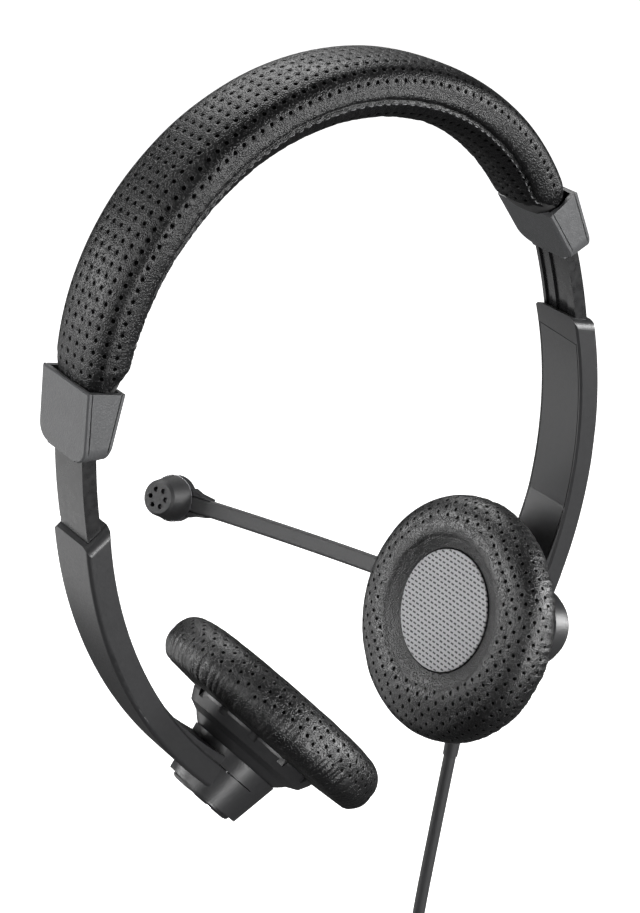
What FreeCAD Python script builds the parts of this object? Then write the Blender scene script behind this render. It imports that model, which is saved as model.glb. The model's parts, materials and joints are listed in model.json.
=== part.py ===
"""Office headset: padded headband, two ear cups on sliding arms, a boom microphone and a cable.

Millimetres, +Z up.  +X is the wearer's right, +Y is the wearer's front.  The origin is on the
underside of the headband at its highest point, where the band rests on the crown of the head.
Everything is built on the right-hand side and mirrored in X for the left.
"""
import FreeCAD, Part
import math
import os

V = FreeCAD.Vector

# ---- headband -------------------------------------------------------------------------------
BAND_CENTRE_Z = -55.2        # centre of the band's arc, on the mid plane
BAND_OUTER_R = 69.8
BAND_THICKNESS = 14.6        # at the crown
BAND_HALF_WIDTH = 11.75      # at the crown
BAND_END_ANGLE = 76.5        # degrees from the crown to each end
BAND_SKIN = 1.0
STRIP_R = 64.5               # spring strip, inner face
STRIP_THICKNESS = 0.8
STRIP_HALF_WIDTH = 4.5
STRIP_END_ANGLE = 79.5
WIRE_R = 61.2                # arc of the wire that feeds the left speaker
WIRE_RADIUS = 0.6

# ---- end caps: corners of the side view (x, z) ------------------------------------------------
CAP_OUTER_TOP = (68.0, -36.2)
CAP_OUTER_BOTTOM = (72.2, -52.8)
CAP_INNER_BOTTOM = (66.3, -54.9)
CAP_INNER_TOP = (59.2, -39.9)
CAP_HALF_WIDTH = 10.0
CAP_PLATE = 1.2
CAP_WALL = 1.3
CAP_CORNER_R = 4.0
CAP_RIM = 0.35               # chamfer of the long edges
CAP_GROOVE = 0.3             # depth of the groove between a plate and the frame

# ---- straps and the arc that the arms slide along ---------------------------------------------
SLIDE_X = -78.6              # centre of the right-hand slide arc
SLIDE_Z = -79.3
STRAP_OUTER_R = 151.2
STRAP_PLATE = 3.0             # where it shows
STRAP_TONGUE = 1.9            # its lower part, inside the arm
STRAP_RAIL = 0.6
STRAP_HALF_WIDTH = 6.0
STRAP_TOP_ANGLE = 11.6
STRAP_STEP_ANGLE = 0.3        # where the tongue begins
STRAP_BOTTOM_ANGLE = -7.2
SLIDE_UP_ANGLE = 5.7         # how far an arm can be pushed up
SLIDE_CLEARANCE = 0.1

# ---- arms ---------------------------------------------------------------------------------
ARM_X = -43.4
ARM_Z = -85.9
ARM_OUTER_R = 117.7
ARM_INNER_R = 111.5
ARM_ROOT_EXTRA = 3.2         # how much thicker the arm is where it meets the hub
ARM_ROOT_ANGLE = -20.0       # where it starts to thicken
ARM_CORNER_R = 2.6
ARM_HALF_WIDTH = 7.9
ARM_TOP_OUTER_ANGLE = 5.7
ARM_TOP_INNER_ANGLE = 7.6
ARM_BOTTOM_ANGLE = -38.8
ARM_COVER = 0.75             # thickness of the inner cover
ARM_COVER_HALF_WIDTH = 6.8
COVER_GAP = 0.22             # groove round the inner cover

# ---- ear cups: h is measured outward along the cup's axis from CUP_FACE ------------------------
CUP_FACE = (24.2, -144.3)    # x, z of the cup's reference point
CUP_TILT = 30.4              # degrees, axis below horizontal
PIVOT_H = 4.0                # centre of the ball joint
DISH_BALL_R = 19.7
DISH_WALL = 1.35
BALL_GAP = 0.25
HUB_INNER_R = 12.7
HUB_OUTER_R = 10.4
HUB_TOP_H = 31.9
PAD_H = -1.7                 # the pad's front; what follows is measured from there
PAD_R = 32.2
PAD_HOLE_R = 16.1
PAD_HOLE_UP = 1.9            # the opening lies this far above the pad's middle
PAD_BACK_H = 14.3
PLATE_R = 28.4
SCRIM_R = 16.0
SCRIM_H = 1.7
SPEAKER_WALL_R = 15.7

# ---- boom -----------------------------------------------------------------------------------
BOOM_H = 35.0                # height of the boom's middle plane over the pad's front
BOOM_DROP = 9.35             # degrees below the wearer's forward direction
BOOM_STRAIGHT = 17.8
BOOM_BEND_R = 342.0
BOOM_BEND_ANGLE = 20.5
BOOM_HALF_WIDTH = 2.55
BOOM_HALF_THICKNESS = 1.35
MIC_RING_R = 7.2
MIC_FRONT_R = 5.2
MIC_LENGTH = 9.8

# ---- cord -----------------------------------------------------------------------------------
CORD_D = 3.4
RELIEF_LENGTH = 24.0
CORD_ROUTE = [               # x, y, z of the free stretch, from the strain relief to the coil
    (23.6, 0.0, -189.2),
    (16.3, 0.2, -212.0),
    (6.2, 0.5, -244.5),
    (3.6, 0.5, -262.3),
    (5.4, 0.2, -275.2),
    (11.2, 0.0, -284.5),
    (19.0, 0.0, -289.0),
]
COIL_CENTRE = (7.95, 0.0, -308.1)
COIL_MEAN_R = 18.7
COIL_HALF = 5.1              # half the bundle's thickness
TAIL_ROUTE = [               # x, y, z from the coil to the plug
    (23.2, 6.8, -308.4),
    (22.9, 7.2, -320.5),
    (22.0, 6.9, -332.5),
]
PLUG_D = 3.5
PLUG_PIN_LENGTH = 14.0


def vec(x, z, y=0.0):
    return V(x, y, z)


def mirrored(shape):
    return shape.mirror(V(0, 0, 0), V(1, 0, 0))


def sector(cx, cz, r0, r1, y0, y1, a0, a1):
    """Curved bar about the Y direction through (cx, cz), angles in degrees above +X."""
    corners = [V(cx + r0, y0, cz), V(cx + r1, y0, cz), V(cx + r1, y1, cz), V(cx + r0, y1, cz)]
    face = Part.Face(Part.makePolygon(corners + corners[:1]))
    axis = V(0, -1, 0)
    face.rotate(V(cx, 0, cz), axis, a0)
    return face.revolve(V(cx, 0, cz), axis, a1 - a0)


def prism(points_xz, y0, y1):
    """Straight-sided block from a side-view outline."""
    pts = [V(x, y0, z) for x, z in points_xz]
    return Part.Face(Part.makePolygon(pts + pts[:1])).extrude(V(0, y1 - y0, 0))


def turned(points_rh):
    """Body of revolution about the local axis, from (radius, height) corners."""
    pts = [V(r, 0, h) for r, h in points_rh]
    return Part.Face(Part.makePolygon(pts + pts[:1])).revolve(V(0, 0, 0), V(0, 0, 1), 360)


def disc(r, h0, h1, x=0.0, y=0.0):
    return Part.makeCylinder(r, h1 - h0, V(x, y, h0))


def ring(r_in, r_out, h0, h1):
    return disc(r_out, h0, h1).cut(disc(r_in, h0 - 1, h1 + 1))


def ball(r, h=PIVOT_H):
    return Part.makeSphere(r, V(0, 0, h))


def ball_shell(r_in, r_out, lateral_r):
    """Cap of a hollow ball centred on the ear cup's pivot."""
    column = disc(lateral_r, PIVOT_H, PIVOT_H + r_out + 2)
    return ball(r_out).cut(ball(r_in)).common(column)


def cup_axes():
    t = math.radians(CUP_TILT)
    outward = V(math.cos(t), 0, -math.sin(t))
    upward = V(math.sin(t), 0, math.cos(t))
    return outward, upward


def placement(origin, x_axis, z_axis):
    y_axis = z_axis.cross(x_axis)
    m = FreeCAD.Matrix(x_axis.x, y_axis.x, z_axis.x, origin.x,
                       x_axis.y, y_axis.y, z_axis.y, origin.y,
                       x_axis.z, y_axis.z, z_axis.z, origin.z,
                       0, 0, 0, 1)
    return FreeCAD.Placement(m)


def moved(shape, place):
    result = shape.copy()
    result.Placement = place.multiply(result.Placement)
    return result


def on_cup(shape):
    """Move a shape from the ear cup's own axes (X up, Z outward) to its place on the right."""
    outward, upward = cup_axes()
    origin = vec(CUP_FACE[0], CUP_FACE[1])
    return moved(shape, placement(origin, upward, outward))


def on_pad(shape, up=0.0):
    """Cup piece measured from the pad's front, and from the opening's middle where up is given."""
    return on_cup(moved(shape, placement(V(up, 0, PAD_H), V(1, 0, 0), V(0, 0, 1))))


def smooth(t):
    t = min(max(t, 0.0), 1.0)
    return t * t * (3 - 2 * t)


# ---- headband pieces ----------------------------------------------------------------------
def band_section(angle, inset):
    """Closed outline across the band at an angle from the crown: boxy outside, round inside."""
    share = abs(angle) / BAND_END_ANGLE
    neck = smooth((abs(angle) - 70.5) / 5.5)
    r_out = BAND_OUTER_R - 0.5 * neck - inset
    r_in = BAND_OUTER_R - BAND_THICKNESS + 3.0 * share ** 2.5 + 2.7 * neck + inset
    half_width = BAND_HALF_WIDTH - 1.8 * share ** 4 - 1.5 * neck - inset
    middle = (r_out + r_in) / 2
    half = (r_out - r_in) / 2
    a = math.radians(angle)
    points = []
    for k in range(28):
        t = 2 * math.pi * k / 28
        power = 0.56 if math.cos(t) > 0 else 1.15
        r = middle + half * math.copysign(abs(math.cos(t)) ** power, math.cos(t))
        y = half_width * math.copysign(abs(math.sin(t)) ** 0.72, math.sin(t))
        points.append(V(r * math.sin(a), y, BAND_CENTRE_Z + r * math.cos(a)))
    curve = Part.BSplineCurve()
    curve.interpolate(Points=points, PeriodicFlag=True)
    return Part.Wire(curve.toShape())


def band_loft(inset):
    count = 16
    end = BAND_END_ANGLE
    if inset > 0:
        end = end + 1.5
    wires = [band_section(-end + 2 * end * k / count, inset) for k in range(count + 1)]
    return Part.makeLoft(wires, True, False)


def band_core():
    return band_loft(BAND_SKIN)


def band_arc(r0, r1, y0, y1, end_angle):
    return sector(0, BAND_CENTRE_Z, r0, r1, y0, y1, 90 - end_angle, 90 + end_angle)


def spring_strip():
    return band_arc(STRIP_R, STRIP_R + STRIP_THICKNESS, -STRIP_HALF_WIDTH, STRIP_HALF_WIDTH,
                    STRIP_END_ANGLE)


def link_wire():
    start = math.radians(90 - BAND_END_ANGLE + 8)
    direction = V(math.cos(start), 0, math.sin(start))
    centre = V(0, 0, BAND_CENTRE_Z) + direction * WIRE_R
    normal = direction.cross(V(0, 1, 0))
    face = Part.Face(Part.Wire(Part.makeCircle(WIRE_RADIUS, centre, normal)))
    return face.revolve(V(0, 0, BAND_CENTRE_Z), V(0, -1, 0), 2 * (BAND_END_ANGLE - 8))


def band_cover():
    return band_loft(0).cut(band_core())


def band_foam():
    inner = band_core().common(band_arc(50, 75, -15, 15, BAND_END_ANGLE - 0.6))
    slot = band_arc(STRIP_R - 0.05, STRIP_R + STRIP_THICKNESS + 0.05,
                    -STRIP_HALF_WIDTH - 0.05, STRIP_HALF_WIDTH + 0.05, STRIP_END_ANGLE + 4)
    tunnel = band_arc(WIRE_R - 0.7, WIRE_R + 0.7, -0.7, 0.7, STRIP_END_ANGLE + 4)
    return inner.cut(slot).cut(tunnel)


# ---- end caps -----------------------------------------------------------------------------
def cap_outline():
    return [CAP_OUTER_TOP, CAP_OUTER_BOTTOM, CAP_INNER_BOTTOM, CAP_INNER_TOP]


def cap_slab(top, bottom, inward, depth, half_width, reach=0.0):
    """Plate lying just inside one long side of the cap."""
    t = V(top[0], 0, top[1])
    b = V(bottom[0], 0, bottom[1])
    along = (b - t).normalize()
    t = t - along * reach
    b = b + along * reach
    push = V(along.z, 0, -along.x) * inward * depth
    corners = [t, b, b + push, t + push]
    return prism([(c.x, c.z) for c in corners], -half_width, half_width)


def rounded_bottom(block, top, bottom):
    """Round the two lower corners of a cap as seen square on to its face."""
    t = V(top[0], 0, top[1])
    b = V(bottom[0], 0, bottom[1])
    along = (b - t).normalize()
    across = V(along.z, 0, -along.x)
    for side in (-1, 1):
        corner = b + V(0, side * CAP_HALF_WIDTH, 0)
        centre = corner - along * CAP_CORNER_R - V(0, side * CAP_CORNER_R, 0)
        base = centre - across * 20
        square = Part.Face(Part.makePolygon([
            base, base + along * 9, base + along * 9 + V(0, side * 9, 0), base + V(0, side * 9, 0), base]))
        waste = square.extrude(across * 40)
        keep = Part.makeCylinder(CAP_CORNER_R, 40, base, across)
        block = block.cut(waste.cut(keep))
    return block


def cap_block():
    block = prism(cap_outline(), -CAP_HALF_WIDTH, CAP_HALF_WIDTH)
    block = rounded_bottom(block, CAP_OUTER_TOP, CAP_OUTER_BOTTOM)
    return block.cut(band_loft(0))


def soft_rim(plate, corner, half_width):
    """Break the outer long edges of a cap plate."""
    rim = []
    for edge in plate.Edges:
        ends = [v.Point for v in edge.Vertexes]
        on_side = all(abs(abs(e.y) - half_width) < 0.01 for e in ends)
        outside = all(abs((e - corner[0]).dot(corner[1])) < 0.01 for e in ends)
        if len(ends) == 2 and on_side and outside:
            rim.append(edge)
    return plate.makeChamfer(CAP_RIM, rim)


def cap_plate(block, top, bottom, inward):
    """One long side of the cap, with broken long edges and a fine groove beside the frame."""
    slab = cap_slab(top, bottom, inward, CAP_PLATE, CAP_HALF_WIDTH + 1, 8)
    t = V(top[0], 0, top[1])
    along = (V(bottom[0], 0, bottom[1]) - t).normalize()
    normal = V(along.z, 0, -along.x) * inward
    plate = soft_rim(block.common(slab), (t, normal), CAP_HALF_WIDTH)
    shelf = cap_slab(top, bottom, inward, CAP_PLATE + 0.05, CAP_HALF_WIDTH + 1, 8)
    shelf = shelf.cut(cap_slab(top, bottom, inward, CAP_PLATE - 0.9 * CAP_GROOVE, CAP_HALF_WIDTH + 1, 8))
    keep_w = CAP_HALF_WIDTH - CAP_GROOVE
    keep = prism([(40, -80), (90, -80), (90, -20), (40, -20)], -keep_w, keep_w)
    return plate.cut(shelf.cut(keep)).cut(strap_space(0.02, STRAP_TOP_ANGLE, -10))


def cap_outer_plate(block):
    return cap_plate(block, CAP_OUTER_TOP, CAP_OUTER_BOTTOM, 1)


def cap_inner_plate(block):
    return cap_plate(block, CAP_INNER_TOP, CAP_INNER_BOTTOM, -1)


def cap_frame(block):
    outer = cap_slab(CAP_OUTER_TOP, CAP_OUTER_BOTTOM, 1, CAP_PLATE, CAP_HALF_WIDTH + 1, 8)
    inner = cap_slab(CAP_INNER_TOP, CAP_INNER_BOTTOM, -1, CAP_PLATE, CAP_HALF_WIDTH + 1, 8)
    body = block.cut(outer).cut(inner)
    floor_z = CAP_OUTER_BOTTOM[1] + 1.6
    hollow = prism([(50, -30), (80, -30), (80, floor_z), (50, floor_z)],
                   -CAP_HALF_WIDTH + CAP_WALL, CAP_HALF_WIDTH - CAP_WALL)
    return body.cut(hollow).cut(strap_space(0.0, STRAP_TOP_ANGLE + 1, -10))


def cap_screws():
    """Two screws that hold the inner plate."""
    t = V(CAP_INNER_TOP[0], 0, CAP_INNER_TOP[1])
    b = V(CAP_INNER_BOTTOM[0], 0, CAP_INNER_BOTTOM[1])
    along = (b - t).normalize()
    outward = V(-along.z, 0, along.x)
    spot = t + along * 7.4
    screws = []
    for y in (-4.2, 4.2):
        base = spot + V(0, y, 0) + outward * 1.3
        shank = Part.makeCylinder(0.8, 1.6, base, outward)
        head = Part.makeCylinder(1.5, 0.9, base, outward)
        screws.append(shank.fuse(head))
    return screws


# ---- straps -------------------------------------------------------------------------------
def strap_space(clearance, a_top, a_bottom, depth=STRAP_PLATE + STRAP_RAIL):
    r_in = STRAP_OUTER_R - depth - clearance
    w = STRAP_HALF_WIDTH + clearance
    return sector(SLIDE_X, SLIDE_Z, r_in, STRAP_OUTER_R + clearance, -w, w, a_bottom, a_top)


def slider_strap():
    """Ribbed strap with a thinner tongue inside the arm and notches for the detent."""
    r_plate = STRAP_OUTER_R - STRAP_PLATE
    w = STRAP_HALF_WIDTH
    strap = sector(SLIDE_X, SLIDE_Z, r_plate, STRAP_OUTER_R, -w, w, STRAP_STEP_ANGLE, STRAP_TOP_ANGLE)
    tongue = sector(SLIDE_X, SLIDE_Z, STRAP_OUTER_R - STRAP_TONGUE, STRAP_OUTER_R, -w, w,
                    STRAP_BOTTOM_ANGLE, STRAP_STEP_ANGLE + 1)
    strap = strap.fuse(tongue)
    for y0, y1 in ((-6.0, -3.4), (1.1, 2.4), (5.0, 6.0)):
        rail = sector(SLIDE_X, SLIDE_Z, r_plate - STRAP_RAIL, r_plate, y0, y1,
                      STRAP_STEP_ANGLE, STRAP_TOP_ANGLE - 1.2)
        strap = strap.fuse(rail)
    for k in range(12):
        a = math.radians(STRAP_BOTTOM_ANGLE + 1 + 0.8 * k)
        axis = V(math.cos(a), 0, math.sin(a))
        base = V(SLIDE_X, w + 0.35, SLIDE_Z) + axis * (STRAP_OUTER_R - STRAP_TONGUE - 1)
        strap = strap.cut(Part.makeCylinder(0.6, 4, base, axis))
    return strap.removeSplitter()


# ---- arms ---------------------------------------------------------------------------------
def arm_bar():
    """Curved bar with rounded long edges, a sloping top with round corners and a thicker root."""
    bar = sector(ARM_X, ARM_Z, ARM_INNER_R, ARM_OUTER_R, -ARM_HALF_WIDTH, ARM_HALF_WIDTH,
                 ARM_BOTTOM_ANGLE, ARM_TOP_INNER_ANGLE + 3)
    long_edges = [e for e in bar.Edges if e.Length > 60]
    outer = [e for e in long_edges if e.Curve.Radius > ARM_OUTER_R - 0.1]
    bar = bar.makeFillet(1.1, outer)
    inner = [e for e in bar.Edges if e.Length > 60 and e.Curve.Radius < ARM_INNER_R + 0.1]
    bar = bar.makeChamfer(0.5, inner)
    top_outer = polar(ARM_X, ARM_Z, ARM_OUTER_R, ARM_TOP_OUTER_ANGLE)
    top_inner = polar(ARM_X, ARM_Z, ARM_INNER_R, ARM_TOP_INNER_ANGLE)
    slope = top_outer - top_inner
    low = top_outer + slope
    high = top_inner - slope
    bar = bar.cut(prism([(low.x, low.z), (high.x, high.z), (high.x, high.z + 30), (low.x, high.z + 30)],
                        -20, 20))
    pitch = math.degrees(math.atan2(-slope.z, slope.x))
    for side in (-1, 1):
        y = side * (ARM_HALF_WIDTH - ARM_CORNER_R)
        waste = Part.makeBox(24, 6, 12, V(-16, y if side > 0 else y - 6, -ARM_CORNER_R))
        waste = waste.cut(Part.makeCylinder(ARM_CORNER_R, 24, V(-16, y, -ARM_CORNER_R), V(1, 0, 0)))
        waste.rotate(V(0, 0, 0), V(0, 1, 0), pitch)
        waste.translate(top_outer)
        bar = bar.cut(waste)
    return bar.fuse(arm_root())


def arm_root():
    """Wedge on the inner side of the arm, which makes it thicker towards the hub."""
    middle = (ARM_ROOT_ANGLE + ARM_BOTTOM_ANGLE) / 2
    depth = ARM_ROOT_EXTRA
    first = polar(ARM_X, ARM_Z, ARM_INNER_R, ARM_ROOT_ANGLE)
    half = polar(ARM_X, ARM_Z, ARM_INNER_R - 0.42 * depth, middle)
    last = polar(ARM_X, ARM_Z, ARM_INNER_R - depth, ARM_BOTTOM_ANGLE)
    back_last = polar(ARM_X, ARM_Z, ARM_INNER_R + 1, ARM_BOTTOM_ANGLE)
    back_half = polar(ARM_X, ARM_Z, ARM_INNER_R + 1, middle)
    back_first = polar(ARM_X, ARM_Z, ARM_INNER_R + 1, ARM_ROOT_ANGLE)
    edges = [Part.Arc(first, half, last).toShape(), Part.makeLine(last, back_last),
             Part.Arc(back_last, back_half, back_first).toShape(), Part.makeLine(back_first, first)]
    face = Part.Face(Part.Wire(edges))
    w = ARM_HALF_WIDTH - 0.5
    face.translate(V(0, -w, 0))
    return face.extrude(V(0, 2 * w, 0))


def polar(cx, cz, r, angle):
    a = math.radians(angle)
    return V(cx + r * math.cos(a), 0, cz + r * math.sin(a))


def cover_region(clearance):
    """Space of the thin inner cover, with its slanted top edge."""
    w = ARM_COVER_HALF_WIDTH + clearance
    plate = sector(ARM_X, ARM_Z, ARM_INNER_R - 6, ARM_INNER_R + ARM_COVER + clearance, -w, w,
                   ARM_BOTTOM_ANGLE + 4.4, 7)
    slope = Part.Face(Part.makePolygon([
        V(40, -12, -79.6 + clearance), V(40, 12, -77.0 + clearance), V(40, 12, -40),
        V(40, -12, -40), V(40, -12, -79.6 + clearance)])).extrude(V(50, 0, 0))
    lug = on_cup(disc(HUB_INNER_R + 2, 15, 23.6 + clearance).cut(
        Part.makeBox(40, 60, 40, V(-40, -30, 0))))
    return plate.cut(slope), lug


def hub_cone():
    """Round end of the arm, with the hollow ball seat for the ear cup."""
    return turned([(0, 17), (HUB_INNER_R + 0.35, 17), (HUB_OUTER_R, HUB_TOP_H), (0, HUB_TOP_H)])


def arm_solid():
    bar = arm_bar().fuse(on_cup(hub_cone())).cut(on_cup(ball(DISH_BALL_R + BALL_GAP)))
    below = on_cup(Part.makeBox(60, 60, 40, V(-30, -30, PIVOT_H - 40)))
    return bar.cut(below).removeSplitter()


def arm_pieces(with_boom):
    whole = arm_solid()
    plate, lug = cover_region(0.0)
    cover = whole.common(plate).fuse(whole.common(lug))
    thick_travel = STRAP_STEP_ANGLE - SLIDE_UP_ANGLE - 0.3
    cover = cover.cut(strap_space(SLIDE_CLEARANCE, 12, thick_travel))
    cover = cover.cut(strap_space(SLIDE_CLEARANCE, 12, -14, STRAP_TONGUE))
    plate_gap, lug_gap = cover_region(COVER_GAP)
    shell = whole.cut(plate_gap).cut(lug_gap)
    travel = STRAP_BOTTOM_ANGLE - SLIDE_UP_ANGLE - 0.3
    shell = shell.cut(strap_space(SLIDE_CLEARANCE, 12, thick_travel))
    shell = shell.cut(strap_space(SLIDE_CLEARANCE, 12, travel, STRAP_TONGUE))
    duct = sector(ARM_X, ARM_Z, ARM_INNER_R + ARM_COVER, ARM_INNER_R + 3.1, -4.5, 4.5,
                  ARM_BOTTOM_ANGLE + 7, -17)
    shell = shell.cut(duct)
    pocket = disc(8.8, HUB_TOP_H - 1.0, HUB_TOP_H + 1).fuse(disc(7.4, 27.4, HUB_TOP_H))
    if with_boom:
        pocket = ring(4.5, 7.4, 27.4, HUB_TOP_H + 1)
        post = ring(2.1, 4.5, 27.4, 38.6)
        shell = shell.fuse(on_cup(post))
    shell = shell.cut(on_cup(pocket))
    screws = [disc(0.84, 10, 30, 4.6, y) for y in (-5.6, 5.6)]
    for hole in screws + [disc(1.54, 10, 40)]:
        shell = shell.cut(on_cup(hole))
        cover = cover.cut(on_cup(hole))
    for y in (-5.6, 5.6):
        shell = shell.cut(on_cup(disc(1.45, 27.4, 40, 4.6, y)))
    if with_boom:
        shell = shell.cut(on_cup(disc(3.3, 27.4, 30.4))).cut(on_cup(disc(2.1, 30.4, 40)))
        relief_notch = Part.makeBox(3.4, 9.0, 3.4, V(-14.6, -4.5, 18.0))
        shell = shell.cut(on_cup(relief_notch))
    shell = shell.cut(spring_pocket())
    return shell.removeSplitter(), cover.removeSplitter()


def spring_pocket():
    return sector(SLIDE_X, SLIDE_Z, 149.3, 151.1, 5.9, 7.3, -5.6, -0.4)


def detent_spring():
    leaf = sector(SLIDE_X, SLIDE_Z, 149.6, 150.9, 6.6, 6.95, -5.4, -0.6)
    a = math.radians(-3.0)
    axis = V(math.cos(a), 0, math.sin(a))
    nose = Part.makeCylinder(0.5, 1.3, V(SLIDE_X, 6.72, SLIDE_Z) + axis * 149.6, axis)
    return leaf.fuse(nose).removeSplitter()


def arm_screws():
    screws = []
    for y in (-5.6, 5.6):
        screws.append(disc(0.8, 22.9, 28.0, 4.6, y).fuse(disc(1.4, 27.45, 28.5, 4.6, y)))
    return [on_cup(s) for s in screws]


def cup_screw():
    head_top = 29.4
    return on_cup(disc(1.5, 18.0, 28.0).fuse(disc(2.8, 27.45, head_top)))


def cup_nut():
    """Ball-backed nut that holds the keyed washer and the dish against the arm."""
    nut = ball_shell(15.6, 17.0, 5.2)
    return on_cup(nut.cut(disc(1.52, 0, 40)))


def cup_washer():
    """Keyed ball washer: it tilts on the screw one way and the dish tilts on it the other way."""
    washer = ball_shell(17.1, 18.2, 7.8)
    slot = Part.makeBox(7.6, 3.24, 40, V(-3.8, -1.62, 0))
    return on_cup(washer.cut(slot))


def hub_cap():
    cap = turned([(0, 29.6), (6.9, 29.6), (6.9, HUB_TOP_H - 0.95), (8.7, HUB_TOP_H - 0.95),
                  (8.7, HUB_TOP_H + 0.5), (8.2, HUB_TOP_H + 1.0), (0, HUB_TOP_H + 1.0)])
    return on_cup(cap.cut(ring(7.2, 7.8, HUB_TOP_H + 0.6, HUB_TOP_H + 2)))


def hub_ring():
    return on_cup(ring(7.22, 7.78, HUB_TOP_H + 0.62, HUB_TOP_H + 1.15))


# ---- ear cups -----------------------------------------------------------------------------
def dish():
    """Back shell: flange, notched rim, cone and the ball-shaped boss."""
    rim_h = 15.9
    r_ball = 14.6
    h_ball = PIVOT_H + math.sqrt(DISH_BALL_R ** 2 - r_ball ** 2)
    outer = turned([(0, 8.5), (PLATE_R, 8.5), (PLATE_R, 9.9), (19.4, 10.6), (18.9, 13.2),
                    (17.4, rim_h), (r_ball, h_ball), (0, h_ball)])
    boss = ball(DISH_BALL_R).common(disc(r_ball, h_ball - 0.5, 40))
    w = DISH_WALL
    hollow = turned([(0, 7.3), (PLATE_R - 1.4, 7.3), (PLATE_R - 1.4, 9.1), (17.6, 9.5),
                     (17.5, 13.0), (16.1, rim_h - 0.8), (r_ball - 1.2, h_ball - 1.1), (0, h_ball - 1.1)])
    inner_ball = ball(DISH_BALL_R - w).common(disc(r_ball - 1.3, 9, 40))
    shell = outer.fuse(boss).cut(hollow).cut(inner_ball).cut(disc(4.8, 10, 40))
    for k in range(12):
        notch = Part.makeBox(2.4, 2.4, 2.2, V(18.05, -1.2, 12.0))
        notch.rotate(V(0, 0, 0), V(0, 0, 1), 15 + 30 * k)
        shell = shell.cut(notch)
    return shell


def right_dish():
    return on_cup(dish().cut(relief_stub(2.25))).removeSplitter()


def baffle():
    """Speaker plate with a raised, perforated middle under the cloth."""
    up = PAD_HOLE_UP
    plate = turned([(0, 8.4), (PLATE_R, 8.4), (PLATE_R, 10.1), (26.4, 10.1), (26.4, 9.6), (0, 9.6)])
    wall = disc(SPEAKER_WALL_R, 2.6, 9.6, up)
    body = plate.fuse(wall).cut(disc(SPEAKER_WALL_R - 1.1, 3.4, 12, up))
    holes = [disc(1.3, 0, 5, up)]
    for count, radius in ((6, 4.6), (12, 9.2)):
        for k in range(count):
            a = 2 * math.pi * k / count
            holes.append(disc(1.3, 0, 5, up + radius * math.cos(a), radius * math.sin(a)))
    return on_pad(body.cut(Part.makeCompound(holes)))


def ear_pad():
    """Cushion ring with a skirt that folds round behind the speaker plate."""
    def p(r, h):
        return V(r, 0, h)
    r_core = PAD_HOLE_R - PAD_HOLE_UP - 0.4
    edges = [Part.makeLine(p(r_core, 3.0), p(20.5, 0.35)),
             Part.Arc(p(20.5, 0.35), p(23.4, 0.0), p(26.1, 0.4)).toShape(),
             Part.Arc(p(26.1, 0.4), p(31.0, 3.1), p(PAD_R, 7.2)).toShape(),
             Part.Arc(p(PAD_R, 7.2), p(31.3, 11.3), p(28.5, 13.6)).toShape(),
             Part.makeLine(p(28.5, 13.6), p(20.4, PAD_BACK_H)),
             Part.makeLine(p(20.4, PAD_BACK_H), p(20.4, 12.9)),
             Part.makeLine(p(20.4, 12.9), p(28.9, 12.1)),
             Part.makeLine(p(28.9, 12.1), p(28.9, 8.1)),
             Part.makeLine(p(28.9, 8.1), p(r_core, 8.1)),
             Part.makeLine(p(r_core, 8.1), p(r_core, 3.0))]
    ring_solid = Part.Face(Part.Wire(edges)).revolve(V(0, 0, 0), V(0, 0, 1), 360)
    return on_pad(ring_solid.cut(disc(PAD_HOLE_R, -5, 12, PAD_HOLE_UP)))


def scrim():
    return on_pad(disc(SCRIM_R, SCRIM_H, SCRIM_H + 0.7), PAD_HOLE_UP)


def driver_frame():
    frame = turned([(9.0, 4.6), (14.4, 4.6), (14.4, 6.4), (10.5, 8.6), (6.7, 8.6), (6.7, 7.4), (9.0, 6.2)])
    return on_pad(frame, PAD_HOLE_UP)


def driver_cone():
    cone = turned([(0, 3.5), (4.0, 3.7), (8.0, 4.2), (14.0, 4.1), (14.0, 4.4), (8.0, 4.5),
                   (4.0, 4.0), (0, 3.8)])
    return on_pad(cone, PAD_HOLE_UP)


def driver_magnet():
    return on_pad(disc(6.6, 7.5, 11.0), PAD_HOLE_UP)


def terminal_board():
    board = Part.makeBox(6.6, 9.0, 0.7, V(-24.4, -4.5, 10.12))
    return on_pad(board)


# ---- boom ---------------------------------------------------------------------------------
def boom_axes():
    """Forward direction of the boom and the direction across it, in the ear cup's own axes."""
    a = math.radians(BOOM_DROP)
    forward = V(-math.sin(a), -math.cos(a), 0)
    across = V(0, 0, 1).cross(forward)
    return forward, across


def boom_point(along, inward):
    forward, across = boom_axes()
    return forward * along + V(0, 0, BOOM_H - inward)


def boom_hub():
    body = turned([(4.56, 32.15), (HUB_OUTER_R - 0.5, 32.15), (HUB_OUTER_R, 32.7), (HUB_OUTER_R, 36.9),
                   (9.6, 37.9), (4.56, 37.9)])
    forward, across = boom_axes()
    w = BOOM_HALF_WIDTH + 0.9
    t = BOOM_HALF_THICKNESS + 0.8
    corners = [boom_point(5.5, -t) - across * w, boom_point(5.5, -t) + across * w,
               boom_point(5.5, t) + across * w, boom_point(5.5, t) - across * w]
    root = Part.Face(Part.makePolygon(corners + corners[:1])).extrude(forward * 8.3)
    hole = disc(4.56, 30, 40)
    return on_cup(body.fuse(root).cut(hole).cut(boom_bar(0.0)).removeSplitter())


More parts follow.
